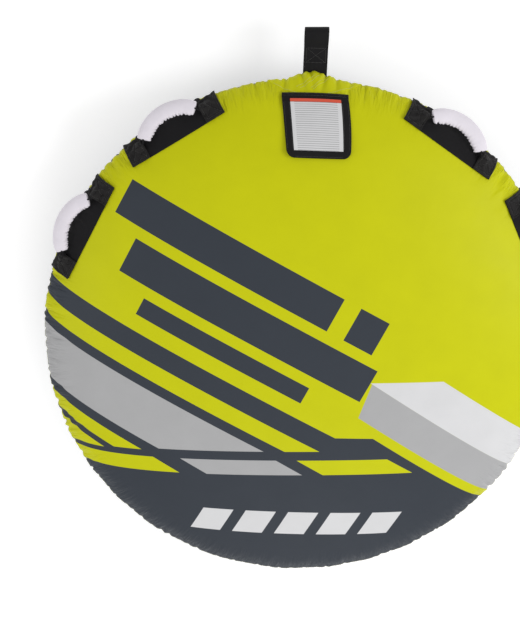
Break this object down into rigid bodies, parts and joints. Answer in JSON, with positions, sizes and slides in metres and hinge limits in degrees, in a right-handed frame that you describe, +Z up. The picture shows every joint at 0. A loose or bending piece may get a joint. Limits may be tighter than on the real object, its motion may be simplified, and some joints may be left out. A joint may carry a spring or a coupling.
{
  "type": "round towable inflatable tube",
  "caption": "Round inflatable tube for towing behind a boat, with padded grab handles, a tow strap, a valve flap and a two-colour nylon cover.",
  "frame": {"origin": "middle of the flat patch on the underside, where the tube rests on the ground", "axes": "+Z up through the middle of the tube, +Y towards the tow strap, +X to the right seen from above with the strap away"},
  "size_m": [1.372, 1.496, 0.28],
  "materials": {
    "bladder": "matt",
    "cover_top": "woven nylon",
    "cover_bottom": "woven nylon",
    "webbing": "woven webbing",
    "grip": "padded nylon",
    "label": "satin",
    "label_band": "satin",
    "valve": "moulded",
    "zip_coil": "coil",
    "slider": "plated",
    "grommet": "plated"
  },
  "bodies": {
    "tube": {"bladder": "bladder", "top_cover": "cover_top", "bottom_cover": "cover_bottom", "rim_welt": "webbing", "tow_nose_upper": "cover_top", "tow_nose_lower": "cover_top", "tow_anchor": "webbing", "flap_hem": "webbing", "valve_base": "valve", "valve_cap": "valve", "zip_tape": "webbing", "zip_coil": "zip_coil", "zip_slider": "slider", "drain_grommets": "grommet", "pad_front_left": "webbing", "tabs_front_left": "webbing", "pad_side_left": "webbing", "tabs_side_left": "webbing", "pad_front_right": "webbing", "tabs_front_right": "webbing", "pad_side_right": "webbing", "tabs_side_right": "webbing"},
    "flap": {"valve_flap": "webbing", "flap_binding": "webbing", "flap_label": "label", "flap_label_band": "label_band"},
    "strap": {"tow_strap": "webbing"},
    "handle_front_left": {"grip_front_left": "grip", "web_front_left": "webbing"},
    "handle_side_left": {"grip_side_left": "grip", "web_side_left": "webbing"},
    "handle_front_right": {"grip_front_right": "grip", "web_front_right": "webbing"},
    "handle_side_right": {"grip_side_right": "grip", "web_side_right": "webbing"}
  },
  "joints": [
    {"name": "flap_hinge", "type": "hinge", "parent": "tube", "child": "flap", "pos_m": [0, 0.63767, 0.19943], "axis": [-1, 0, 0], "range_deg": [0, 115]},
    {"name": "strap_hinge", "type": "hinge", "parent": "tube", "child": "strap", "pos_m": [0, 0.704, 0.14], "axis": [1, 0, 0], "range_deg": [-55, 55], "stiffness_Nm_per_rad": 2},
    {"name": "grip_front_left_hinge", "type": "hinge", "parent": "tube", "child": "handle_front_left", "pos_m": [-0.35879, 0.55249, 0.1985], "axis": [0.8387, 0.5446, 0], "range_deg": [0, 130]},
    {"name": "grip_side_left_hinge", "type": "hinge", "parent": "tube", "child": "handle_side_left", "pos_m": [-0.5921, 0.28879, 0.1985], "axis": [0.4384, 0.8988, 0], "range_deg": [0, 130]},
    {"name": "grip_front_right_hinge", "type": "hinge", "parent": "tube", "child": "handle_front_right", "pos_m": [0.35879, 0.55249, 0.1985], "axis": [0.8387, -0.5446, 0], "range_deg": [0, 130]},
    {"name": "grip_side_right_hinge", "type": "hinge", "parent": "tube", "child": "handle_side_right", "pos_m": [0.5921, 0.28879, 0.1985], "axis": [0.4384, -0.8988, 0], "range_deg": [0, 130]}
  ]
}
